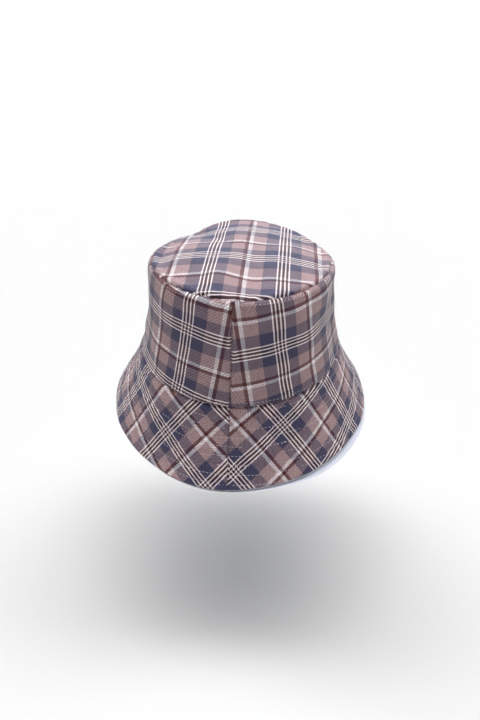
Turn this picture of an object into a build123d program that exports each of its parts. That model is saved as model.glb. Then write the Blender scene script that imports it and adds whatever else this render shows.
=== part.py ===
from build123d import *
from math import atan2, cos, degrees, sin, sqrt, tan
import os

# A lined bucket hat with a two-panel side, standing on its brim edge. Millimetres, +Z up.
# The origin is the centre of the brim's edge, on the surface that the hat stands on.
# The plane x = 0 holds the seams that join the left and right halves, at the front (-Y) and back.

# Driving dimensions
base_radius = 96.0  # outside of the side panels, where the brim is sewn on
brim_radius = 131.5  # outer edge of the brim
brim_drop = 67.5  # level of the brim seam above the brim's edge
side_height = 94.5  # from the brim seam up to the tip seam
tip_radius = 79.0  # outside of the tip seam
tip_rise = 8.0  # how far the tip domes above its seam
shoulder_drop = 12.0  # the last stretch of the side, which rolls in to the tip seam
shoulder_radius = 82.6  # outside of the side where that roll starts

# Cloth thicknesses, measured level through the side panels and square through the brim
shell_cloth = 0.8
interlining_cloth = 0.6
under_cloth = 0.6
lining_cloth = 0.5
band_cloth = 0.7

# Lining, hung inside the shell
lining_inset = 1.6  # from the shell's outer face to the lining's outer face
lining_drop = 2.0  # from the shell's tip seam down to the lining's tip seam

# Turned edge of the brim, where the under layer rolls round the cut edges of the others
rolled_edge = 1.0

# Sweatband: it flares from the brim seam, stands upright round the head, then follows the lining
band_height = 28.0
band_seam_radius = 93.1
band_flare = 4.0
head_radius = 90.9  # inside of the upright stretch, 571 mm round
head_length = 10.0
band_top_radius = 88.6

# Stitching
thread_width = 0.45
thread_height = 0.2
brim_rows = 9
first_row = 5.5  # down the brim's slope from the brim seam
row_spacing = 8.3
base_stitch_rise = 3.5  # along the side, up from the brim seam
tip_stitch_drop = 3.0  # along the side, down from the tip seam
band_stitch_rise = 2.3  # along the sweatband's flare, up from the brim seam

# Care label, sewn by its top edge to the back of the lining
label_width = 22.0
label_length = 30.0
label_cloth = 0.35
label_level = 148.0  # its sewn top edge
label_gap = 0.4  # between the lining and the label's long edges

# Derived levels and angles
seam_z = brim_drop
tip_z = seam_z + side_height
shoulder_z = tip_z - shoulder_drop
brim_lean = atan2(brim_radius - base_radius, brim_drop)
side_lean = atan2(base_radius - shoulder_radius, shoulder_z - seam_z)
roll_lean = 2 * atan2(shoulder_radius - tip_radius, shoulder_drop) - side_lean
flare_lean = atan2(band_seam_radius - head_radius, band_flare)
interlining_inset = shell_cloth
under_inset = interlining_inset + interlining_cloth
brim_cloth = under_inset + under_cloth
rolled_radius = brim_radius - rolled_edge * tan(brim_lean)

right_half = Plane(origin=(0, 0, 0), x_dir=(0, -1, 0), z_dir=(-1, 0, 0))
left_half = Plane(origin=(0, 0, 0), x_dir=(0, 1, 0), z_dir=(1, 0, 0))


def save(part, label):
    """Name a finished piece and write it to its own file."""
    part.label = label
    export_step(part, f"parts/{label}.step")


def level(thickness, lean=brim_lean):
    """Level distance through a layer that leans from upright."""
    return thickness / cos(lean)


def side_half(label, plane, inset, cloth, top_z):
    """Half of the crown's side, from the brim seam up to its tip seam, as one cloth panel."""
    with BuildPart() as panel:
        with BuildSketch(plane):
            with BuildLine():
                outer = Line((base_radius - inset, seam_z), (shoulder_radius - inset, shoulder_z))
                outer_roll = TangentArc(
                    outer @ 1, (tip_radius - inset, top_z), tangent=outer % 1
                )
                top = Line(outer_roll @ 1, (tip_radius - inset - cloth, top_z))
                inner = Line(
                    (base_radius - inset - cloth, seam_z),
                    (shoulder_radius - inset - cloth, shoulder_z),
                )
                TangentArc(inner @ 1, top @ 1, tangent=inner % 1)
                Line(inner @ 0, outer @ 0)
            make_face()
        revolve(axis=Axis.Z, revolution_arc=180)
    save(panel.part, label)


def tip_disc(label, radius, edge_z, apex_z, cloth):
    """Domed round top whose rim stands flat on the top edge of the side panels."""
    with BuildPart() as disc:
        with BuildSketch(Plane.XZ):
            with BuildLine():
                outer = TangentArc((0, apex_z), (radius, edge_z + cloth), tangent=(1, 0))
                rim = Line(outer @ 1, (radius, edge_z))
                land = Line(rim @ 1, (radius - cloth, edge_z))
                inner = TangentArc((0, apex_z - cloth), land @ 1, tangent=(1, 0))
                Line(inner @ 0, outer @ 0)
            make_face()
        revolve(axis=Axis.Z)
    save(disc.part, label)


def brim_half(label, plane, inset, cloth):
    """Half of a brim layer, ending level where the rolled edge starts."""
    with BuildPart() as layer:
        with BuildSketch(plane):
            with BuildLine():
                Polyline(
                    (base_radius - level(inset), seam_z),
                    (rolled_radius - level(inset), rolled_edge),
                    (rolled_radius - level(inset + cloth), rolled_edge),
                    (base_radius - level(inset + cloth), seam_z),
                    close=True,
                )
            make_face()
        revolve(axis=Axis.Z, revolution_arc=180)
    save(layer.part, label)


def under_half(label, plane):
    """Half of the brim's under layer, with the lip that rolls out round the other layers' edges."""
    with BuildPart() as layer:
        with BuildSketch(plane):
            with BuildLine():
                Polyline(
                    (base_radius - level(under_inset), seam_z),
                    (rolled_radius - level(under_inset), rolled_edge),
                    (rolled_radius, rolled_edge),
                    (brim_radius, 0),
                    (brim_radius - level(brim_cloth), 0),
                    (base_radius - level(brim_cloth), seam_z),
                    close=True,
                )
            make_face()
        revolve(axis=Axis.Z, revolution_arc=180)
    save(layer.part, label)


def slope_points(start, lean, distances):
    """Points down an outward slope from its top, one for each distance along it."""
    return [(start[0] + d * sin(lean), start[1] - d * cos(lean)) for d in distances]


def thread_rings(label, outer_points, inner_points, lean):
    """Rings of thread that lie on the outer and the inner face of a leaning layer."""
    along = degrees(lean) - 90
    with BuildPart() as thread:
        with BuildSketch(Plane.XZ):
            with Locations(*[Location((x, z, 0), (0, 0, along)) for x, z in outer_points]):
                Rectangle(thread_width, thread_height, align=(Align.CENTER, Align.MIN))
            with Locations(*[Location((x, z, 0), (0, 0, along)) for x, z in inner_points]):
                Rectangle(thread_width, thread_height, align=(Align.CENTER, Align.MAX))
        revolve(axis=Axis.Z)
    save(thread.part, label)


os.makedirs("parts", exist_ok=True)

# Shell and lining, in halves that meet edge to edge at the front and back seams
for side, half in (("right", right_half), ("left", left_half)):
    side_half(f"crown_side_{side}", half, 0, shell_cloth, tip_z)
    side_half(f"lining_side_{side}", half, lining_inset, lining_cloth, tip_z - lining_drop)
    brim_half(f"brim_upper_{side}", half, 0, shell_cloth)
    brim_half(f"brim_interlining_{side}", half, interlining_inset, interlining_cloth)
    under_half(f"brim_under_{side}", half)

tip_disc("crown_tip", tip_radius, tip_z, tip_z + tip_rise, shell_cloth)
tip_disc(
    "lining_tip",
    tip_radius - lining_inset,
    tip_z - lining_drop,
    tip_z - lining_drop + tip_rise - shell_cloth,
    lining_cloth,
)

# Sweatband, one ring of tape round the inside of the brim seam
with BuildPart() as sweatband:
    with BuildSketch(Plane.XZ):
        with BuildLine():
            Polyline(
                (band_seam_radius, seam_z),
                (head_radius, seam_z + band_flare),
                (head_radius, seam_z + band_flare + head_length),
                (band_top_radius, seam_z + band_height),
                (band_top_radius + band_cloth, seam_z + band_height),
                (head_radius + band_cloth, seam_z + band_flare + head_length),
                (head_radius + band_cloth, seam_z + band_flare),
                (band_seam_radius + band_cloth, seam_z),
                close=True,
            )
        make_face()
    revolve(axis=Axis.Z)
save(sweatband.part, "sweatband")

# Concentric stitching through every layer of the brim: needle thread above, bobbin thread below
row_distances = [first_row + row * row_spacing for row in range(brim_rows)]
brim_underside = (base_radius - brim_cloth * cos(brim_lean), seam_z - brim_cloth * sin(brim_lean))
thread_rings(
    "brim_stitch_rows",
    slope_points((base_radius, seam_z), brim_lean, row_distances),
    slope_points(brim_underside, brim_lean, row_distances),
    brim_lean,
)

# Topstitching round the foot of the side panels, which holds the seam allowance flat
thread_rings(
    "crown_base_topstitch",
    slope_points((base_radius, seam_z), side_lean, [-base_stitch_rise]),
    [],
    side_lean,
)

# Topstitching round the head of the side panels, just below the tip seam
thread_rings(
    "tip_topstitch",
    slope_points((tip_radius, tip_z), roll_lean, [tip_stitch_drop]),
    [],
    roll_lean,
)

# Stitching that holds the sweatband's lower edge to the brim seam
thread_rings(
    "sweatband_stitch",
    [],
    slope_points((band_seam_radius, seam_z), flare_lean, [-band_stitch_rise]),
    flare_lean,
)

# Care label, a blank tape that hangs flat in front of the lining at the back
lining_radius = base_radius - lining_inset - lining_cloth - (label_level - seam_z) * tan(side_lean)
label_back = sqrt(lining_radius**2 - (label_width / 2) ** 2) - label_gap
with BuildPart() as care_label:
    with BuildSketch(Plane.XY.offset(label_level)):
        with Locations((0, label_back)):
            Rectangle(label_width, label_cloth, align=(Align.CENTER, Align.MAX))
    extrude(amount=-label_length)
save(care_label.part, "care_label")

print(f"care_label hinge: y {label_back - label_cloth / 2:.3f}, z {label_level:.3f}")
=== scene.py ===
import math

import bpy
import numpy as np
from mathutils import Matrix, Vector


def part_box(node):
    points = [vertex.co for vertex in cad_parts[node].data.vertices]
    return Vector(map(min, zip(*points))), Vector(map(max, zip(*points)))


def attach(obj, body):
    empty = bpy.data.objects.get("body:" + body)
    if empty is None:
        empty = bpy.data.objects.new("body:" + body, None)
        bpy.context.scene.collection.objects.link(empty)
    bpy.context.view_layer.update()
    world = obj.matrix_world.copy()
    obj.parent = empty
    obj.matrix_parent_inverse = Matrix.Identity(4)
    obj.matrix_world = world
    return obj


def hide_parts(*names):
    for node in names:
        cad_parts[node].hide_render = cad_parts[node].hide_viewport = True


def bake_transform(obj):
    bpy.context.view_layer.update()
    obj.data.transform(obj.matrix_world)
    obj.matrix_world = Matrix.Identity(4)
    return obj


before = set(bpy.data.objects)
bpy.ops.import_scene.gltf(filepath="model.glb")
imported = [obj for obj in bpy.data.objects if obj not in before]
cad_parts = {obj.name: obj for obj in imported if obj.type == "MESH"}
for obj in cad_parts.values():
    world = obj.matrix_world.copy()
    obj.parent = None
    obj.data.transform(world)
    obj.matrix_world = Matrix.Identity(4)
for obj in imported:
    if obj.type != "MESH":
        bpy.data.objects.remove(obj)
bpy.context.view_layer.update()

MM = 0.001

# ------------------------------------------------------------------ sizes, from the frame
BASE_RADIUS = -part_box("crown_side_right")[0].y
TIP_RADIUS = -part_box("crown_tip")[0].y
BRIM_RADIUS = -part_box("brim_under_right")[0].y
SEAM_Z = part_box("crown_side_right")[0].z
TIP_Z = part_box("crown_side_right")[1].z
BAND_TOP_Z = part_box("sweatband")[1].z
LABEL_LOW, LABEL_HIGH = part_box("care_label")
SIDE_HEIGHT = TIP_Z - SEAM_Z
SIDE_SLOPE = math.hypot(BASE_RADIUS - TIP_RADIUS, SIDE_HEIGHT)
BRIM_SLOPE = math.hypot(BRIM_RADIUS - BASE_RADIUS, SEAM_Z)

# Cloth thicknesses of the layers
SHELL = 0.8 * MM
INTERLINING = 0.6 * MM
UNDER = 0.6 * MM
LINING = 0.5 * MM
BAND = 0.7 * MM
BRIM_CLOTH = SHELL + INTERLINING + UNDER
LINING_INSET = 1.6 * MM

# Radii near the middle of each part, which turn angles round the hat into lengths
SIDE_MEAN_RADIUS = 88 * MM
BRIM_MEAN_RADIUS = 115 * MM
LINING_MEAN_RADIUS = 86 * MM
BAND_MEAN_RADIUS = 90 * MM

# How the soft hat differs from the even, upright one. The crown leans forward and its top slopes
# down to the back. The brim hangs lower by these cosine and sine parts of one and two waves.
TIP_SHIFT = (2.6 * MM, -4.8 * MM)
TIP_TILT = (-0.0146, -0.0807)
BRIM_DROOP = ((1, 3.9 * MM, 2.3 * MM), (2, -0.6 * MM, 0.2 * MM))

# The dome of the top and how far in its edge lies, how full and how sharp the shoulder below it is,
# how far the side and the brim draw in halfway down, and the height of the slow waves round both
TIP_RISE = 8.3 * MM
TIP_INSET = 1.4 * MM
SHOULDER = 3.6 * MM
SHOULDER_SHARPNESS = 12
SIDE_WAIST = -3.7 * MM
BRIM_WAIST = -2.2 * MM
SLOW_WAVE = 0.5 * MM

# Where the rim of the top has slumped or stands up: azimuth, half width, height
RIM_SLUMPS = [
    (math.radians(-128), math.radians(30), -6.0 * MM),
    (math.radians(-172), math.radians(24), 2.5 * MM),
    (math.radians(-137), math.radians(9), -2.2 * MM),
    (math.radians(122), math.radians(24), -3.5 * MM),
]

# Soft dents and swellings of the top: place right and back of its middle, half widths, height
TIP_DENTS = [
    ((-70 * MM, -15 * MM), (12 * MM, 50 * MM), -3.0 * MM),
    ((12 * MM, -15 * MM), (12 * MM, 42 * MM), -2.0 * MM),
    ((72 * MM, -5 * MM), (10 * MM, 40 * MM), -1.8 * MM),
    ((-15 * MM, -52 * MM), (11 * MM, 24 * MM), 2.0 * MM),
    ((16 * MM, -52 * MM), (11 * MM, 24 * MM), -1.6 * MM),
    ((36 * MM, 14 * MM), (14 * MM, 20 * MM), 1.2 * MM),
]

# The brim's stitching is one spiral from the brim seam to the edge
SPIRAL_START = 3.5 * MM
SPIRAL_PITCH = 8.3 * MM
SPIRAL_SWAY = 1.9 * MM
SPIRAL_TURNS = (0.06, 8.06)

# Every stitch's length with its gap, the share that shows, and its width and height
STITCH_PITCH = 3.4 * MM
STITCH_FILL = 0.66
STITCH_WIDTH = 0.5 * MM
STITCH_HEIGHT = 0.34 * MM

# Distances of the other rows from the seams that they follow
BASE_ROW = 3.5 * MM
TIP_ROW = 3.0 * MM
BAND_ROW = 2.3 * MM

# The pale lip at the brim's edge. The check ends short of the edge, and the lip hangs past it, most
# round one azimuth: azimuth, half width, how far all round, and how much further there
LIP_SHOWN = (math.radians(50), math.radians(36), 0.9 * MM, 4.4 * MM)
LIP_HANG = (math.radians(44), math.radians(34), 0, 0.3 * MM)
LIP_BEND = 4 * MM

# Inside: the gap behind the label and the stretch that it bends over, and how far the lining's top
# hangs below the shell's and ends short of its edge
LABEL_GAP = 0.5 * MM
LINING_TOP_SLACK = 0.8 * MM
LINING_TOP_INSET = 0.3 * MM

# Share of its slope by which a side panel or a brim half runs past the brim seam
TUCK = 0.006

# Grid points of each cloth, down and across, and along each side of the round ones
SIDE_GRID = (130, 320)
BRIM_GRID = (150, 320)
STIFFENING_GRID = (80, 200)
LINING_GRID = (90, 200)
BAND_GRID = (40, 360)
LABEL_GRID = (40, 24)
TOP_GRID = 161
LINING_TOP_GRID = 121

PINSTRIPES = [("pin", 3), ("dark", 5)] * 3 + [("pin", 3)]
SETT = [("pale", 8), ("tan", 30), ("navy", 28), *PINSTRIPES, ("navy", 23), ("tan", 28), ("maroon", 8)]
YARNS = sum(count for colour, count in SETT)
REPEAT = 60 * MM

# Where each cut piece lies in the check, and how its flat cut fans out
TIP_ORIGIN = (-54.4 * MM, -46.7 * MM)
SIDE_ORIGINS = {"right": (-121.6 * MM, 8.0 * MM), "left": (122.0 * MM, 58.0 * MM)}
BRIM_ORIGINS = {"right": (-141.7 * MM, -37.9 * MM), "left": (141.9 * MM, -19.7 * MM)}
SIDE_FAN = 0.094
BRIM_FAN = 0.487

# Camera: its place round the hat, its aim below the tip seam, and its lens
SEAM_TURN = 0.093
CAMERA_DISTANCE = 483.3 * MM
CAMERA_RISE = math.radians(29.5)
CAMERA_AIM = Vector((-2.4, 0, -118.3)) * MM
CAMERA_ROLL = -0.009
CAMERA_LENS = 27.4

# The floor's depth below the brim's edge, and its half width in metres
FLOOR_DROP = 240 * MM
FLOOR_REACH = 40.0

# Lamps overhead: strengths from left to right, and in degrees the angle between neighbours, how far
# to the front of straight above they stand (less than 0 is behind) and how wide each looks
SKY_STRENGTHS = [0.3, 0.5, 0.6, 0.58, 0.55, 0.58, 0.6, 0.5, 0.3]
SKY_STEP = 10
SKY_FORWARD = -13
SKY_WIDTH = 18

# Brightness of the white surround where it lights the hat, and where the camera sees it
SURROUND_LIGHT = 0.04
BACKDROP = 1.0

HALVES = (("right", 1), ("left", -1))


# ------------------------------------------------------------------ curves and noise
def smooth(x):
    """0 below 0, 1 above 1, and a smooth rise between them."""
    x = np.clip(x, 0, 1)
    return x * x * (3 - 2 * x)


def bell(distance, width):
    """1 at no distance, falling away softly over the width."""
    return np.exp(-((distance / width) ** 2))


def ripple(theta, low, high, seed):
    """Repeatable waviness round the hat, about 1 high, of waves that go low to high times round."""
    draw = np.random.default_rng(seed)
    counts = np.arange(low, high + 1)
    phases = draw.uniform(0, 2 * math.pi, len(counts))
    sizes = draw.uniform(0.5, 1, len(counts))
    sizes /= math.sqrt((sizes**2).sum() / 2)
    return sum(a * np.cos(n * theta + p) for a, n, p in zip(sizes, counts, phases))


def patchy(a, b, wavelength, seed):
    """Repeatable soft unevenness over two lengths, about 1 high, of waves near one wavelength."""
    draw = np.random.default_rng(seed)
    waves = 24
    total = 0
    for direction, phase, size in draw.uniform(0, 1, (waves, 3)):
        turn = 2 * math.pi * direction
        count = 2 * math.pi / (wavelength * (0.7 + 0.6 * size))
        wave = (a * math.cos(turn) + b * math.sin(turn)) * count
        total = total + np.cos(wave + 2 * math.pi * phase)
    return total / math.sqrt(waves / 2)


# ------------------------------------------------------------------ faces of the hat
def turn_between(theta, azimuth):
    """Angle from an azimuth, at most half a turn either way."""
    return (theta - azimuth + math.pi) % (2 * math.pi) - math.pi


def ring(theta, radius, z):
    """Points at azimuth theta from the front seam, towards the hat's right."""
    return np.stack(np.broadcast_arrays(radius * np.sin(theta), -radius * np.cos(theta), z), -1)


def relax(points):
    """Moves points of the even, upright hat to where the soft one has them."""
    x, y, z = points[..., 0], points[..., 1], points[..., 2]
    theta = np.arctan2(x, -y)
    up = np.clip((z - SEAM_Z) / SIDE_HEIGHT, 0, 1)
    down = np.clip((SEAM_Z - z) / SEAM_Z, 0, 1.05)
    dz = up * (TIP_TILT[0] * x + TIP_TILT[1] * y)
    rim = up**3 * smooth(np.hypot(x, y) / TIP_RADIUS)
    for azimuth, width, height in RIM_SLUMPS:
        dz = dz + rim * height * bell(turn_between(theta, azimuth), width)
    for waves, cosine, sine in BRIM_DROOP:
        dz = dz - down**1.5 * (cosine * np.cos(waves * theta) + sine * np.sin(waves * theta))
    return np.stack([x + up * TIP_SHIFT[0], y + up * TIP_SHIFT[1], z + dz], -1)


def side(theta, t):
    """Outer face of the crown's side, t from 0 at the tip seam to 1 at the brim seam."""
    radius = TIP_RADIUS + (BASE_RADIUS - TIP_RADIUS) * t
    radius = radius + SHOULDER * (1 - np.exp(-SHOULDER_SHARPNESS * np.maximum(t, 0))) * (1 - t)
    radius = radius + SIDE_WAIST * 4 * t * (1 - t)
    wave = SLOW_WAVE * ripple(theta, 3, 9, seed=11) * np.sin(math.pi * np.clip(t, 0, 1))
    return relax(ring(theta, radius + wave, TIP_Z - SIDE_HEIGHT * t))


def brim(theta, t):
    """Outer face of the brim, t from 0 at the brim seam to 1 at the edge."""
    radius = BASE_RADIUS + (BRIM_RADIUS - BASE_RADIUS) * t + BRIM_WAIST * np.sin(math.pi * t)
    wave = SLOW_WAVE * ripple(theta, 3, 8, seed=12) * t
    return relax(ring(theta, radius + wave, SEAM_Z * (1 - t)))


def tip(right, forward):
    """Outer face of the top, by lengths to the right and to the front of its middle."""
    rho = np.hypot(right, forward) / TIP_RADIUS
    z = TIP_Z + TIP_RISE * (1 - rho**2)
    for (x, y), (wide, deep), height in TIP_DENTS:
        z = z + height * bell(right - x, wide) * bell(-forward - y, deep) * smooth((1 - rho) * 8)
    return relax(np.stack(np.broadcast_arrays(right, -forward, z), -1))


def on_face(surface, a, b, lift):
    """Points lifted off a face along its outward normal."""
    step = 1e-4
    here = surface(a, b)
    normal = np.cross(surface(a, b + step) - here, surface(a + step, b) - here)
    normal /= np.linalg.norm(normal, axis=-1, keepdims=True)
    return here + normal * np.broadcast_to(lift, np.shape(a))[..., None]


# ------------------------------------------------------------------ relief of the cloth
def seam_angle(theta):
    """Angle round the hat to the nearer of the front and back seams."""
    turn = np.abs(turn_between(theta, 0))
    return np.minimum(turn, math.pi - turn)


def clear_of_seam(theta):
    """0 at the front and back seams, and 1 a little way round from them."""
    return smooth(seam_angle(theta) * 8)


def side_relief(theta, t):
    """The side rolls in at its seams, which gather it a little, and is soft between them."""
    drop = t * SIDE_SLOPE
    rise = SIDE_SLOPE - drop
    aside = seam_angle(theta) * SIDE_MEAN_RADIUS
    upright_seams = -1.5 * MM * bell(aside, 0.8 * MM) + 0.3 * MM * bell(aside - 3 * MM, 2 * MM)
    level_seams = -1.8 * MM * bell(rise, 1.1 * MM) - 2.6 * MM * bell(drop, 1.8 * MM)
    foot_row = -0.3 * MM * bell(rise - BASE_ROW, 0.9 * MM)
    head_row = -0.2 * MM * bell(drop - TIP_ROW, 0.9 * MM)
    head_gathers = 0.18 * MM * ripple(theta, 35, 70, seed=21) * np.exp(-drop / (8 * MM))
    foot_gathers = 0.14 * MM * ripple(theta, 40, 75, seed=22) * np.exp(-rise / (7 * MM))
    inside = smooth(drop / (12 * MM)) * smooth(rise / (12 * MM)) * clear_of_seam(theta)
    soft = 0.35 * MM * patchy(theta * SIDE_MEAN_RADIUS, drop, 38 * MM, seed=23) * inside
    return upright_seams + level_seams + foot_row + head_row + head_gathers + foot_gathers + soft


def spiral_phase(theta, slope):
    """Turns of the spiral passed at a place down the brim, whole on its line."""
    return (slope - SPIRAL_START - SPIRAL_SWAY * np.sin(theta)) / SPIRAL_PITCH - theta / (2 * math.pi)


def brim_quilting(theta, t):
    """How far the spiral of stitches pulls in each face of the brim, with small cross puckers."""
    slope = t * BRIM_SLOPE
    around = theta % (2 * math.pi)
    phase = spiral_phase(around, slope)
    turn = np.round(phase)
    turned = turn + around / (2 * math.pi)
    sewn = smooth((turned - SPIRAL_TURNS[0]) * 40) * smooth((SPIRAL_TURNS[1] - turned) * 40)
    away = (phase - turn) * SPIRAL_PITCH
    groove = -0.42 * MM * bell(away, 1.2 * MM)
    puckers = 0.28 * MM * np.tanh(ripple(around + 0.37 * turn, 75, 120, seed=31)) * bell(away, 3.0 * MM)
    above_lip = smooth((BRIM_SLOPE - LIP_BEND - slope) / LIP_BEND)
    return (groove + puckers * above_lip) * sewn


def brim_relief(theta, t):
    """The brim rolls in at its seams and is soft between them."""
    slope = t * BRIM_SLOPE
    upright_seams = -1.1 * MM * bell(seam_angle(theta) * BRIM_MEAN_RADIUS, 0.8 * MM)
    level_seam = -1.5 * MM * bell(slope, 1.2 * MM)
    inside = smooth(slope / (15 * MM)) * clear_of_seam(theta)
    soft = 0.3 * MM * patchy(theta * BRIM_MEAN_RADIUS, slope, 45 * MM, seed=32) * inside
    return upright_seams + level_seam + soft


def tip_relief(right, forward):
    """The top turns down into its seam, which gathers it a little."""
    theta = np.arctan2(right, forward)
    inward = TIP_RADIUS - TIP_INSET - np.hypot(right, forward)
    seam = -2.3 * MM * bell(inward, 1.1 * MM) + 0.8 * MM * bell(inward - 4 * MM, 3 * MM)
    gathers = 0.2 * MM * ripple(theta, 30, 60, seed=41) * np.exp(-inward / (9 * MM))
    soft = 0.3 * MM * patchy(right, forward, 40 * MM, seed=42) * smooth(inward / (12 * MM))
    return seam + gathers + soft


# ------------------------------------------------------------------ places in the cloth
def fan(theta, way, drop, radius, spread):
    """Lengths to the right of and down from the middle of the flat cut of half a cone."""
    rho = radius / spread + drop
    psi = (theta - way * math.pi / 2) * spread
    return rho * np.sin(psi), rho * np.cos(psi) - radius / spread


def repeats(x, y, origin, way):
    """Place in the cloth in repeats of its check."""
    return np.stack([way * (x - origin[0]) / REPEAT, way * (y - origin[1]) / REPEAT], -1)


# ------------------------------------------------------------------ meshes
def new_mesh(name, points, faces, cloth=None):
    """A smooth-shaded object, with places in the cloth in its UV map "cloth"."""
    mesh = bpy.data.meshes.new(name)
    mesh.from_pydata(points.reshape(-1, 3).tolist(), [], faces)
    if cloth is not None:
        corners = np.zeros(len(mesh.loops), np.int32)
        mesh.loops.foreach_get("vertex_index", corners)
        layer = mesh.uv_layers.new(name="cloth")
        layer.data.foreach_set("uv", cloth.reshape(-1, 2)[corners].astype(np.float32).ravel())
    mesh.shade_smooth()
    mesh.update()
    made = bpy.data.objects.new(name, mesh)
    bpy.context.scene.collection.objects.link(made)
    return made


def grid_faces(rows, columns, start=0, flip=False, closed=False):
    """Quads of a grid of points, row by row. A closed grid's last column meets its first."""
    r, c = np.meshgrid(np.arange(rows - 1), np.arange(columns - (not closed)), indexing="ij")
    right = (c + 1) % columns
    corners = (r * columns + c, (r + 1) * columns + c, (r + 1) * columns + right, r * columns + right)
    quads = np.stack(corners, -1).reshape(-1, 4) + start
    return (quads[:, ::-1] if flip else quads).tolist()


def rim_faces(rows, columns, closed):
    """Quads that join the edges of a grid to those of the inner grid that follows it."""
    index = np.arange(rows * columns).reshape(rows, columns)
    if closed:
        loops = [np.append(index[0], index[0, 0]), np.append(index[-1], index[-1, 0])[::-1]]
    else:
        loops = [index[0], index[-1, ::-1], index[::-1, 0], index[:, -1]]
    faces = []
    for loop in loops:
        a, b = loop[:-1], loop[1:]
        faces += np.stack([a, b, b + rows * columns, a + rows * columns], -1).tolist()
    return faces


def cloth_piece(name, outer, inner, cloth, closed=False):
    """A thin closed solid between two grids of points."""
    rows, columns = outer.shape[:2]
    faces = grid_faces(rows, columns, 0, False, closed)
    faces += grid_faces(rows, columns, rows * columns, True, closed)
    faces += rim_faces(rows, columns, closed)
    points = np.concatenate([outer.reshape(-1, 3), inner.reshape(-1, 3)])
    return new_mesh(name, points, faces, np.concatenate([cloth.reshape(-1, 2)] * 2))


def closing(count):
    """Steps from 0 to 1 that lie closer together towards both ends."""
    even = np.linspace(0, 1, count)
    return even - 0.8 * np.sin(2 * math.pi * even) / (2 * math.pi)


def half_grid(way, rows, columns, start=0.0, stop=1.0):
    """Azimuths and shares of the way down over one half, the same way round on both."""
    across, down = closing(columns), closing(rows)
    theta = math.pi * (across if way > 0 else across - 1)
    t, theta = np.meshgrid(start + (stop - start) * down, theta, indexing="ij")
    return theta, t


def ring_grid(rows, columns, start, stop):
    """Azimuths and shares of the way down over the whole ring, without a repeated column."""
    theta = np.linspace(0, 2 * math.pi, columns, endpoint=False)
    t, theta = np.meshgrid(np.linspace(start, stop, rows), theta, indexing="ij")
    return theta, t


def disc_grid(radius, points):
    """Lengths to the right and to the front over a disc, from a square grid bent to its edge."""
    even = np.linspace(-1, 1, points)
    steps = 0.5 * (even + np.sin(math.pi / 2 * even))
    forward, right = np.meshgrid(steps, steps, indexing="ij")
    return (
        radius * right * np.sqrt(1 - forward**2 / 2),
        radius * forward * np.sqrt(1 - right**2 / 2),
    )


# ------------------------------------------------------------------ materials
def srgb(code):
    """Linear colour from a hexadecimal one."""
    channels = [int(code[i : i + 2], 16) / 255 for i in (1, 3, 5)]
    return [((c + 0.055) / 1.055) ** 2.4 for c in channels] + [1]


class Nodes:
    """A material's node tree, with short calls for the steps that the cloths share."""

    def __init__(self, name):
        self.material = bpy.data.materials.new(name)
        self.material.use_nodes = True
        self.tree = self.material.node_tree
        self.shader = self.tree.nodes["Principled BSDF"]

    def node(self, kind, inputs, **settings):
        made = self.tree.nodes.new(kind)
        for key, value in settings.items():
            setattr(made, key, value)
        for key, value in inputs.items():
            if isinstance(value, bpy.types.NodeSocket):
                self.tree.links.new(value, made.inputs[key])
            else:
                made.inputs[key].default_value = value
        return made

    def math(self, operation, *values):
        return self.node("ShaderNodeMath", dict(enumerate(values)), operation=operation).outputs[0]

    def cloth(self):
        return self.node("ShaderNodeUVMap", {}, uv_map="cloth").outputs[0]

    def noise(self, place, scale, detail=4.0):
        inputs = {"Vector": place, "Scale": scale, "Detail": detail}
        return self.node("ShaderNodeTexNoise", inputs)

    def ranged(self, value, start, stop, low, high):
        inputs = {"Value": value, "From Min": start, "From Max": stop, "To Min": low, "To Max": high}
        return self.node("ShaderNodeMapRange", inputs).outputs[0]

    def spread(self, noise, low, high):
        return self.ranged(noise, 0.3, 0.7, low, high)

    def scaled(self, colour, factor):
        inputs = {0: colour, "Scale": factor}
        return self.node("ShaderNodeVectorMath", inputs, operation="SCALE").outputs[0]

    def mixed(self, factor, a, b, kind="RGBA"):
        made = self.tree.nodes.new("ShaderNodeMix")
        made.data_type = kind
        sockets = [s for s in made.inputs if s.enabled]
        for socket, value in zip(sockets, (factor, a, b)):
            if isinstance(value, bpy.types.NodeSocket):
                self.tree.links.new(value, socket)
            else:
                socket.default_value = value
        return next(s for s in made.outputs if s.enabled)

    def bump(self, height, distance, strength=0.6):
        inputs = {"Height": height, "Distance": distance, "Strength": strength}
        self.link("Normal", self.node("ShaderNodeBump", inputs).outputs[0])

    def link(self, name, value):
        self.tree.links.new(value, self.shader.inputs[name])

    def finish(self, roughness, sheen, specular=0.25):
        self.shader.inputs["Roughness"].default_value = roughness
        self.shader.inputs["Sheen Weight"].default_value = sheen
        self.shader.inputs["Specular IOR Level"].default_value = specular
        return self.material


# Each yarn's colour, and how high it stands at its crossings
YARN_KINDS = {
    "pale": ("#fff7fb", 0.18),
    "pin": ("#fdeff3", 0.8),
    "dark": ("#300508", 1.0),
    "tan": ("#ad8f91", 0.1),
    "navy": ("#3f3c5b", 0.42),
    "maroon": ("#4f1013", 0.85),
}

# How fully one yarn hides another that it stands above by 1
COVER = 0.8


def stripe_colour(nodes, place):
    """Colour and standing of the yarn at a place across the repeat."""
    ramp = nodes.node("ShaderNodeValToRGB", {0: nodes.math("FRACT", place)})
    ramp.color_ramp.interpolation = "CONSTANT"
    elements = ramp.color_ramp.elements
    elements.remove(elements[1])
    passed = 0
    for kind, count in SETT:
        colour, standing = YARN_KINDS[kind]
        element = elements.new(passed / YARNS) if passed else elements[0]
        element.color = srgb(colour)[:3] + [standing]
        passed += count
    return ramp.outputs


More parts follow.
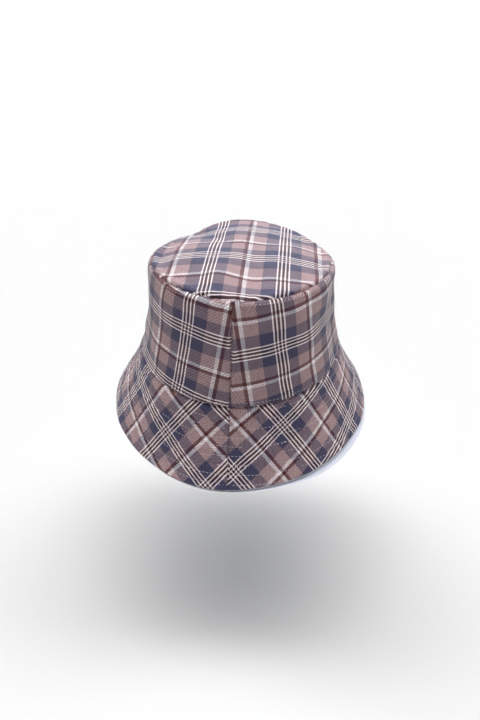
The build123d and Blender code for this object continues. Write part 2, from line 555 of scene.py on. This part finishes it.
def checked_yarn(nodes, warp_at, weft_at, weft_up):
    """Colour of the yarn on top at a place, and how high the taller yarn there stands."""
    warp, warp_stands = stripe_colour(nodes, warp_at)
    weft, weft_stands = stripe_colour(nodes, weft_at)
    taller = nodes.mixed(nodes.math("GREATER_THAN", weft_stands, warp_stands), warp, weft)
    cover = nodes.math("ABSOLUTE", nodes.math("SUBTRACT", warp_stands, weft_stands))
    cover = nodes.math("MULTIPLY", cover, COVER)
    yarn = nodes.mixed(cover, nodes.mixed(weft_up, warp, weft), taller)
    return yarn, nodes.math("MAXIMUM", warp_stands, weft_stands)


def plaid(name, painted_rib_shade, painted_lightness):
    """Two-and-two twill in the check, lightly brushed, with painted shade on its diagonal ribs and yarn
    edges.
    """
    nodes = Nodes(name)
    cloth = nodes.cloth()
    wander = nodes.scaled(nodes.noise(cloth, 12, 3).outputs["Color"], 0.006)
    place = nodes.node("ShaderNodeVectorMath", {0: cloth, 1: wander}, operation="ADD").outputs[0]
    split = nodes.node("ShaderNodeSeparateXYZ", {0: place})
    warp_at, weft_at = split.outputs[0], split.outputs[1]
    warps = nodes.math("MULTIPLY", warp_at, YARNS)
    wefts = nodes.math("MULTIPLY", weft_at, YARNS)
    steps = nodes.math("ADD", nodes.math("FLOOR", warps), nodes.math("FLOOR", wefts))
    weft_up = nodes.math("LESS_THAN", nodes.math("FRACT", nodes.math("MULTIPLY", steps, 0.25)), 0.49)
    yarn, tallest = checked_yarn(nodes, warp_at, weft_at, weft_up)

    across_warp = nodes.math("ABSOLUTE", nodes.math("SINE", nodes.math("MULTIPLY", warps, math.pi)))
    across_weft = nodes.math("ABSOLUTE", nodes.math("SINE", nodes.math("MULTIPLY", wefts, math.pi)))
    round_yarn = nodes.mixed(weft_up, across_warp, across_weft, "FLOAT")
    along = nodes.math("MULTIPLY", nodes.math("ADD", warps, wefts), math.pi / 4)
    rib = nodes.math("COSINE", nodes.math("SUBTRACT", along, 0.375 * math.pi))
    fuzz = nodes.noise(place, 130).outputs["Fac"]
    slub = nodes.spread(nodes.noise(place, 44, 3).outputs["Fac"], 0.76, 1.24)
    worn = nodes.spread(nodes.noise(place, 9).outputs["Fac"], 0.94, 1.05)
    tone_and_painted_shade = nodes.math("MULTIPLY", nodes.spread(fuzz, 0.84, 1.14), nodes.math("MULTIPLY", slub, worn))
    # Painted shade along the diagonal ribs, darker between them, around a level that one copy of the
    # cloth has painted lighter to stand in for stronger light
    ribs = nodes.ranged(rib, -1, 1, painted_lightness - painted_rib_shade, painted_lightness + painted_rib_shade)
    tone_and_painted_shade = nodes.math("MULTIPLY", tone_and_painted_shade, ribs)
    # Painted shade: each yarn is darker towards its edges, where it turns under its neighbours
    tone_and_painted_shade = nodes.math("MULTIPLY", tone_and_painted_shade, nodes.ranged(round_yarn, 0, 1, 0.74, 1.0))
    tone_and_painted_shade = nodes.math("MAXIMUM", tone_and_painted_shade, nodes.ranged(tallest, 0.35, 0.8, 0.3, 0.97))
    nodes.link("Base Color", nodes.scaled(yarn, tone_and_painted_shade))
    nodes.bump(nodes.math("ADD", nodes.math("ADD", round_yarn, rib), fuzz), 0.14 * MM)
    return nodes.finish(roughness=0.55, sheen=0.05, specular=0.3)


def plain(name, colour, yarn, depth, roughness=0.8, sheen=0.2):
    """A plain woven cloth of one colour, slightly uneven."""
    nodes = Nodes(name)
    cloth = nodes.cloth()
    split = nodes.node("ShaderNodeSeparateXYZ", {0: cloth})
    warps, wefts = (
        nodes.math("SINE", nodes.math("MULTIPLY", split.outputs[i], math.pi * REPEAT / yarn))
        for i in (0, 1)
    )
    fuzz = nodes.noise(cloth, 70).outputs["Fac"]
    nodes.link("Base Color", nodes.scaled(srgb(colour)[:3], nodes.spread(fuzz, 0.93, 1.04)))
    nodes.bump(nodes.math("ADD", nodes.math("MULTIPLY", warps, wefts), fuzz), depth, 0.5)
    return nodes.finish(roughness, sheen)


def thread(name, colour):
    """Spun thread, with painted shade in the grooves of its fine twist."""
    nodes = Nodes(name)
    place = nodes.node("ShaderNodeTexCoord", {}).outputs["Object"]
    twist = nodes.node("ShaderNodeTexWave", {"Vector": place, "Scale": 900.0}, bands_direction="DIAGONAL")
    # Painted shade: the thread is darker in fine diagonal bands along the grooves of its twist
    nodes.link("Base Color", nodes.scaled(srgb(colour)[:3], nodes.spread(twist.outputs["Fac"], 0.85, 1)))
    return nodes.finish(roughness=0.6, sheen=0.2)


# The brim's copy of the cloth is painted 10% lighter, standing in for the stronger light on the brim, and
# has fainter painted rib shade
CROWN_PLAID = plaid("crown_plaid_twill", 0.22, 1.0)
BRIM_PLAID = plaid("brim_plaid_twill_painted_lighter", 0.1, 1.1)
UNDERSIDE = plain("pale_plain_weave", "#dfe3ef", 0.35 * MM, 0.05 * MM)
LINING_CLOTH = plain("lining_plain_weave", "#d9dde8", 0.3 * MM, 0.04 * MM)
STIFFENING = plain("interlining_weave", "#e6e4de", 0.6 * MM, 0.08 * MM)
TAPE = plain("sweatband_tape", "#cfd4e0", 0.8 * MM, 0.14 * MM)
SATIN = plain("label_satin", "#f3f2ee", 0.2 * MM, 0.02 * MM, roughness=0.45, sheen=0.1)
THREAD = thread("sewing_thread", "#cdc4cb")
PALE_THREAD = thread("pale_sewing_thread", "#e2e4ec")


def dress(piece, material, slot, *nodes):
    """Gives a piece its material, hangs it on the hat's body and hides the CAD parts it stands for."""
    piece.data.materials.append(material)
    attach(piece, "hat")
    if nodes:
        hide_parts(*nodes)
    return piece


# ------------------------------------------------------------------ crown
def make_side(name, way):
    """One half of the crown's side."""
    theta, t = half_grid(way, *SIDE_GRID, 0, 1 + TUCK)
    lift = side_relief(theta, t)
    x, y = fan(theta, way, t * SIDE_SLOPE, TIP_RADIUS, SIDE_FAN)
    piece = cloth_piece(
        f"side_panel_{name}",
        on_face(side, theta, t, lift),
        on_face(side, theta, t, lift - SHELL),
        repeats(x, y, SIDE_ORIGINS[name], way),
    )
    dress(piece, CROWN_PLAID, "plaid", f"crown_side_{name}")


def make_tip():
    """The round top."""
    right, forward = disc_grid(TIP_RADIUS - TIP_INSET, TOP_GRID)
    lift = tip_relief(right, forward)
    piece = cloth_piece(
        "top_panel",
        on_face(tip, right, forward, lift),
        on_face(tip, right, forward, lift - SHELL),
        repeats(right, -forward, TIP_ORIGIN, 1),
    )
    dress(piece, CROWN_PLAID, "plaid", "crown_tip")


# ------------------------------------------------------------------ brim
def from_edge(theta, azimuth, width, everywhere, further):
    """Distance from the brim's edge, the same all round but for more of it round one azimuth."""
    return everywhere + further * bell(turn_between(theta, azimuth), width)


def upper_end(theta):
    """Where the check ends down the brim's slope, furthest short of the edge at the right front."""
    return BRIM_SLOPE - from_edge(theta, *LIP_SHOWN)


def lip_end(theta):
    """Where the pale lip ends down the brim's slope."""
    return BRIM_SLOPE + from_edge(theta, *LIP_HANG)


def brim_layer(theta, slope, depth):
    """Points of the brim at a depth under its outer face, between the faces that stitching pulls in."""
    t = slope / BRIM_SLOPE
    quilting = brim_quilting(theta, t) * np.clip(1 - 2 * depth / BRIM_CLOTH, -1, 1)
    return on_face(brim, theta, t, brim_relief(theta, t) + quilting - depth)


def make_brim_upper(name, way):
    """The checked upper layer of half the brim. Its edge rolls in over the lip."""
    theta, share = half_grid(way, *BRIM_GRID, -TUCK, 1)
    end = upper_end(theta)
    slope = share * end
    roll_depth, roll_width = 1.2 * MM, 2.4 * MM
    roll = roll_depth * smooth(1 - (end - slope) / roll_width) ** 2
    x, y = fan(theta, way, slope, BASE_RADIUS, BRIM_FAN)
    piece = cloth_piece(
        f"brim_top_{name}",
        brim_layer(theta, slope, roll),
        brim_layer(theta, slope, roll + SHELL),
        repeats(x, y, BRIM_ORIGINS[name], -way),
    )
    dress(piece, BRIM_PLAID, "plaid", f"brim_upper_{name}")


def make_interlining(name, way):
    """The stiffening between the layers of half the brim."""
    theta, share = half_grid(way, *STIFFENING_GRID)
    inside_fold, slack = 3 * MM, 0.03 * MM
    slope = share * (upper_end(theta) - inside_fold)
    x, y = fan(theta, way, slope, BASE_RADIUS, BRIM_FAN)
    piece = cloth_piece(
        f"brim_stiffening_{name}",
        brim_layer(theta, slope, SHELL + slack),
        brim_layer(theta, slope, SHELL + INTERLINING - slack),
        repeats(x, y, (0, 0), 1),
    )
    dress(piece, STIFFENING, "interlining", f"brim_interlining_{name}")


def make_brim_under(name, way):
    """The pale under layer of half the brim. Its fold rolls out round the other layers as a lip."""
    theta, row = half_grid(way, *BRIM_GRID)
    start, end = upper_end(theta), lip_end(theta)
    width = end - start
    flat_rows = 0.55
    share = np.minimum(row / flat_rows, 1)
    late = np.maximum(row - flat_rows, 0) / (1 - flat_rows)
    slope = share * (start - LIP_BEND) + late * (width + LIP_BEND)

    past = np.clip((slope - start) / width, 0, 1)
    bent = smooth((slope - start + LIP_BEND) / LIP_BEND)
    sink, dip, flare = 1.0 * MM, 0.42 * width, 0.6 * width
    curl = 4 * dip * past * (1 - past) - flare * past**3
    middle = BRIM_CLOTH - UNDER / 2 + sink * bent + curl
    half = UNDER / 2 * (1 + bent)
    nose = np.clip((slope - (end - half)) / half, 0, 1)
    half = half * np.sqrt(np.maximum(1 - nose**2, 0.02))
    x, y = fan(theta, way, slope, BASE_RADIUS, BRIM_FAN)
    piece = cloth_piece(
        f"brim_underside_{name}",
        brim_layer(theta, slope, middle - half),
        brim_layer(theta, slope, middle + half),
        repeats(x, y, (0, 0), 1),
    )
    dress(piece, UNDERSIDE, "plain_lining", f"brim_under_{name}")


# ------------------------------------------------------------------ inside
def lining_relief(theta, t):
    """The lining follows the shell and sags a little further in."""
    sag = 0.3 * MM + 0.25 * MM * patchy(theta * LINING_MEAN_RADIUS, t * SIDE_SLOPE, 30 * MM, seed=51)
    return side_relief(theta, t) - LINING_INSET - np.maximum(sag, 0) * np.sin(math.pi * np.clip(t, 0, 1))


def make_lining_side(name, way):
    """One half of the lining's side."""
    theta, t = half_grid(way, *LINING_GRID, 0.02, 1)
    lift = lining_relief(theta, t)
    x, y = fan(theta, way, t * SIDE_SLOPE, TIP_RADIUS, SIDE_FAN)
    piece = cloth_piece(
        f"lining_panel_{name}",
        on_face(side, theta, t, lift),
        on_face(side, theta, t, lift - LINING),
        repeats(x, y, (0, 0), 1),
    )
    dress(piece, LINING_CLOTH, "plain_lining", f"lining_side_{name}")


def make_lining_tip():
    """The round top of the lining."""
    radius = TIP_RADIUS - LINING_TOP_INSET
    right, forward = disc_grid(radius, LINING_TOP_GRID)
    inward = radius - np.hypot(right, forward)
    sag = 0.4 * MM * patchy(right, forward, 32 * MM, seed=52) * smooth(inward / (20 * MM))
    turned_down = 2.2 * MM * bell(inward, 2.5 * MM)
    lift = -LINING_INSET - LINING_TOP_SLACK - turned_down - np.maximum(sag, 0)
    piece = cloth_piece(
        "lining_top",
        on_face(tip, right, forward, lift),
        on_face(tip, right, forward, lift - LINING),
        repeats(right, -forward, (0, 0), 1),
    )
    dress(piece, LINING_CLOTH, "plain_lining", "lining_tip")


def band_lift(theta, t):
    """How far inside the shell's outer face the sweatband's back lies."""
    share = (1 - t) * SIDE_HEIGHT / (BAND_TOP_Z - SEAM_Z)
    slack = 0.45 * MM + 0.5 * MM * smooth(share)
    wave = 0.2 * MM * ripple(theta, 8, 20, seed=61) * smooth(share)
    return wave - LINING_INSET - LINING - slack


def make_sweatband():
    """The tape round the inside of the brim seam, with a rounded fold at its top."""
    top = 1 - (BAND_TOP_Z - SEAM_Z) / SIDE_HEIGHT
    theta, t = ring_grid(*BAND_GRID, top, 0.995)
    lift = band_lift(theta, t)
    fold_height = 0.5 * MM
    fold = np.sqrt(np.clip((t - top) * SIDE_HEIGHT / fold_height, 0.05, 1))
    middle = lift - BAND / 2
    piece = cloth_piece(
        "sweatband_tape",
        on_face(side, theta, t, middle + fold * BAND / 2),
        on_face(side, theta, t, middle - fold * BAND / 2),
        np.stack([theta * BAND_MEAN_RADIUS, t * SIDE_HEIGHT], -1) / REPEAT,
        closed=True,
    )
    dress(piece, TAPE, "sweatband", "sweatband")


def make_label():
    """The blank care label, hung flat in front of the lining at the back."""
    length = LABEL_HIGH.z - LABEL_LOW.z
    width = LABEL_HIGH.x - LABEL_LOW.x
    cloth = LABEL_HIGH.y - LABEL_LOW.y
    top = (TIP_Z - LABEL_HIGH.z) / SIDE_HEIGHT
    rows, columns = LABEL_GRID
    down, across = np.meshgrid(np.linspace(0, 1, rows), np.linspace(-0.5, 0.5, columns), indexing="ij")
    theta = math.pi + across * width / LABEL_HIGH.y
    t = top + down * length / SIDE_SLOPE
    curl = 1.6 * MM * down**2 + 0.5 * MM * (2 * across) ** 2 * down
    lining = lining_relief(np.full_like(theta, math.pi), np.full_like(t, top))
    lift = lining - LINING - LABEL_GAP - curl
    piece = cloth_piece(
        "care_label_tape",
        on_face(side, theta, t, lift),
        on_face(side, theta, t, lift - cloth),
        np.stack([across * width, down * length], -1) / REPEAT,
    )
    piece.data.materials.append(SATIN)
    head = on_face(side, np.array([math.pi]), np.array([top]), lift[0, :1])[0]
    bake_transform(piece)
    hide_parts("care_label")


# ------------------------------------------------------------------ stitching
def sew(face, theta, t, draw):
    """Ends and outward normals of even stitches along a line on a face."""
    line = face(theta, t, 0.0)
    run = np.append(0, np.cumsum(np.linalg.norm(np.diff(line, axis=0), axis=1)))
    count = int(run[-1] / STITCH_PITCH)
    at = np.linspace(0, run[-1], count + 1) + draw.normal(0, 0.12 * MM, count + 1)
    at_theta, at_t = np.interp(at, run, theta), np.interp(at, run, t)
    ends = face(at_theta, at_t, 0.0)
    normals = face(at_theta, at_t, MM) - ends
    normals /= np.linalg.norm(normals, axis=-1, keepdims=True)
    return ends[:-1], ends[1:], normals[:-1]


def stitches(name, starts, stops, normals):
    """A row of separate stitches, each a short rounded strand whose ends sink into the cloth."""
    around, along = 6, 4
    turn = np.linspace(0, 2 * math.pi, around, endpoint=False)
    wide, high = np.cos(turn) * STITCH_WIDTH / 2, np.sin(turn) * STITCH_HEIGHT / 2
    run = np.array([-1, -0.55, 0.55, 1])[:, None]
    girth = np.array([0.35, 1, 1, 0.35])[:, None]
    arch = np.array([-0.35, 0.3, 0.3, -0.35])[:, None] * STITCH_HEIGHT
    halves = (stops - starts) / 2 * STITCH_FILL
    sideways = np.cross(halves, normals)
    sideways /= np.linalg.norm(sideways, axis=-1, keepdims=True)
    points = []
    for middle, half, across, out in zip((starts + stops) / 2, halves, sideways, normals):
        spine = middle + run * half + arch * out
        girdle = np.outer(wide, across) + np.outer(high, out)
        points.append(spine[:, None] + girth[:, None] * girdle)
    faces = []
    for number in range(len(points)):
        start = number * around * along
        faces += grid_faces(along, around, start, True, True)
        faces.append([start + i for i in range(around)])
        faces.append([start + around * along - 1 - i for i in range(around)])
    return new_mesh(name, np.stack(points), faces)


def row_face(surface, relief, depth, out):
    """A face to sew on, at a depth under a surface and with out the side that the thread lies on."""
    return lambda theta, t, above: on_face(surface, theta, t, relief(theta, t) - depth + out * above)


def make_brim_stitches():
    """The spiral through the brim: needle thread above and bobbin thread below."""
    turned = np.linspace(*SPIRAL_TURNS, 4000)
    theta = turned * 2 * math.pi
    slope = SPIRAL_START + SPIRAL_PITCH * turned + SPIRAL_SWAY * np.sin(theta)
    for name, depth, out, seed, material, nodes in (
        ("needle", 0.0, 1, 71, THREAD, ["brim_stitch_rows"]),
        ("bobbin", BRIM_CLOTH, -1, 72, PALE_THREAD, []),
    ):
        def face(at, t, above, depth=depth, out=out):
            return brim_layer(at, t * BRIM_SLOPE, depth - out * above)

        row = sew(face, theta, slope / BRIM_SLOPE, np.random.default_rng(seed))
        dress(stitches(f"brim_spiral_{name}", *row), material, "thread", *nodes)


def make_ring_stitches():
    """The rows round the crown's foot and head, and the one that holds the sweatband."""
    theta = np.linspace(0, 2 * math.pi, 1500)
    draw = np.random.default_rng(73)
    foot, head, band = 1 - BASE_ROW / SIDE_SLOPE, TIP_ROW / SIDE_SLOPE, 1 - BAND_ROW / SIDE_SLOPE
    outside, inside = row_face(side, side_relief, 0, 1), row_face(side, band_lift, BAND, -1)
    for name, node, t, face, material in (
        ("crown_foot_stitches", "crown_base_topstitch", foot, outside, THREAD),
        ("crown_head_stitches", "tip_topstitch", head, outside, THREAD),
        ("sweatband_stitches", "sweatband_stitch", band, inside, PALE_THREAD),
    ):
        row = sew(face, theta, np.full_like(theta, t), draw)
        dress(stitches(name, *row), material, "thread", node)


for name, way in HALVES:
    make_side(name, way)
    make_brim_upper(name, way)
    make_interlining(name, way)
    make_brim_under(name, way)
    make_lining_side(name, way)
make_tip()
make_lining_tip()
make_sweatband()
make_label()
make_brim_stitches()
make_ring_stitches()


# ------------------------------------------------------------------ stage
def make_floor():
    """A wide pale floor, well below the hat, which only takes its soft shadow."""
    corners = np.array([[-1, -1, 0], [1, -1, 0], [1, 1, 0], [-1, 1, 0]]) * FLOOR_REACH
    floor = new_mesh("floor", corners - np.array([0, 0, FLOOR_DROP]), [[0, 1, 2, 3]])
    nodes = Nodes("floor_paint")
    nodes.shader.inputs["Base Color"].default_value = srgb("#dadada")
    floor.data.materials.append(nodes.finish(roughness=0.9, sheen=0))


def make_sun(name, sideways, forward, strength, width):
    """A distant lamp, moved from straight above by degrees, as wide as an angle in degrees."""
    light = bpy.data.lights.new(name, "SUN")
    light.energy = strength
    light.angle = math.radians(width)
    lamp = bpy.data.objects.new(name, light)
    lamp.rotation_euler = (math.radians(forward), math.radians(sideways), 0)
    bpy.context.scene.collection.objects.link(lamp)
    return lamp


def make_lights():
    """Soft overhead light, spread to both sides, with a white backdrop and a fill from the front.

    The cool glow from behind shows only in reflections.
    """
    world = bpy.data.worlds.new("surround")
    world.use_nodes = True
    tree = world.node_tree
    surround = tree.nodes["Background"]
    backdrop = tree.nodes.new("ShaderNodeBackground")
    for background, brightness in ((surround, SURROUND_LIGHT), (backdrop, BACKDROP)):
        background.inputs["Color"].default_value = (1, 1, 1, 1)
        background.inputs["Strength"].default_value = brightness
    seen = tree.nodes.new("ShaderNodeLightPath").outputs["Is Camera Ray"]
    shown = tree.nodes.new("ShaderNodeMixShader")
    for socket, value in zip(shown.inputs, (seen, surround.outputs[0], backdrop.outputs[0])):
        tree.links.new(value, socket)
    tree.links.new(shown.outputs[0], tree.nodes["World Output"].inputs["Surface"])
    bpy.context.scene.world = world
    for number, strength in enumerate(SKY_STRENGTHS):
        sideways = (number - len(SKY_STRENGTHS) // 2) * SKY_STEP
        make_sun(f"sky_{number}", sideways, SKY_FORWARD, strength, SKY_WIDTH)
    make_sun("front_fill", sideways=0, forward=70, strength=0.5, width=40)
    glow = make_sun("glow_behind", sideways=0, forward=-64, strength=3.2, width=70)
    glow.data.color = (0.82, 0.9, 1.0)
    glow.visible_diffuse = False


def make_camera():
    """A camera in front of the hat and above it, level but for a slight roll."""
    turn = Matrix.Rotation(SEAM_TURN, 3, "Z")
    centre = Vector((TIP_SHIFT[0], TIP_SHIFT[1], TIP_Z))
    back = Vector((0, -math.cos(CAMERA_RISE), math.sin(CAMERA_RISE))) * CAMERA_DISTANCE
    eye, aim = centre + turn @ back, centre + turn @ CAMERA_AIM
    forward = (aim - eye).normalized()
    level = forward.cross(Vector((0, 0, 1))).normalized()
    upright = level.cross(forward)
    right = level * math.cos(CAMERA_ROLL) + upright * math.sin(CAMERA_ROLL)
    up = right.cross(forward)
    camera = bpy.data.objects.new("camera", bpy.data.cameras.new("camera"))
    camera.data.lens = CAMERA_LENS
    camera.matrix_world = Matrix.Translation(eye) @ Matrix((right, up, -forward)).transposed().to_4x4()
    bpy.context.scene.collection.objects.link(camera)
    bpy.context.scene.camera = camera


make_floor()
make_lights()
make_camera()
bpy.context.scene.view_settings.view_transform = "Standard"
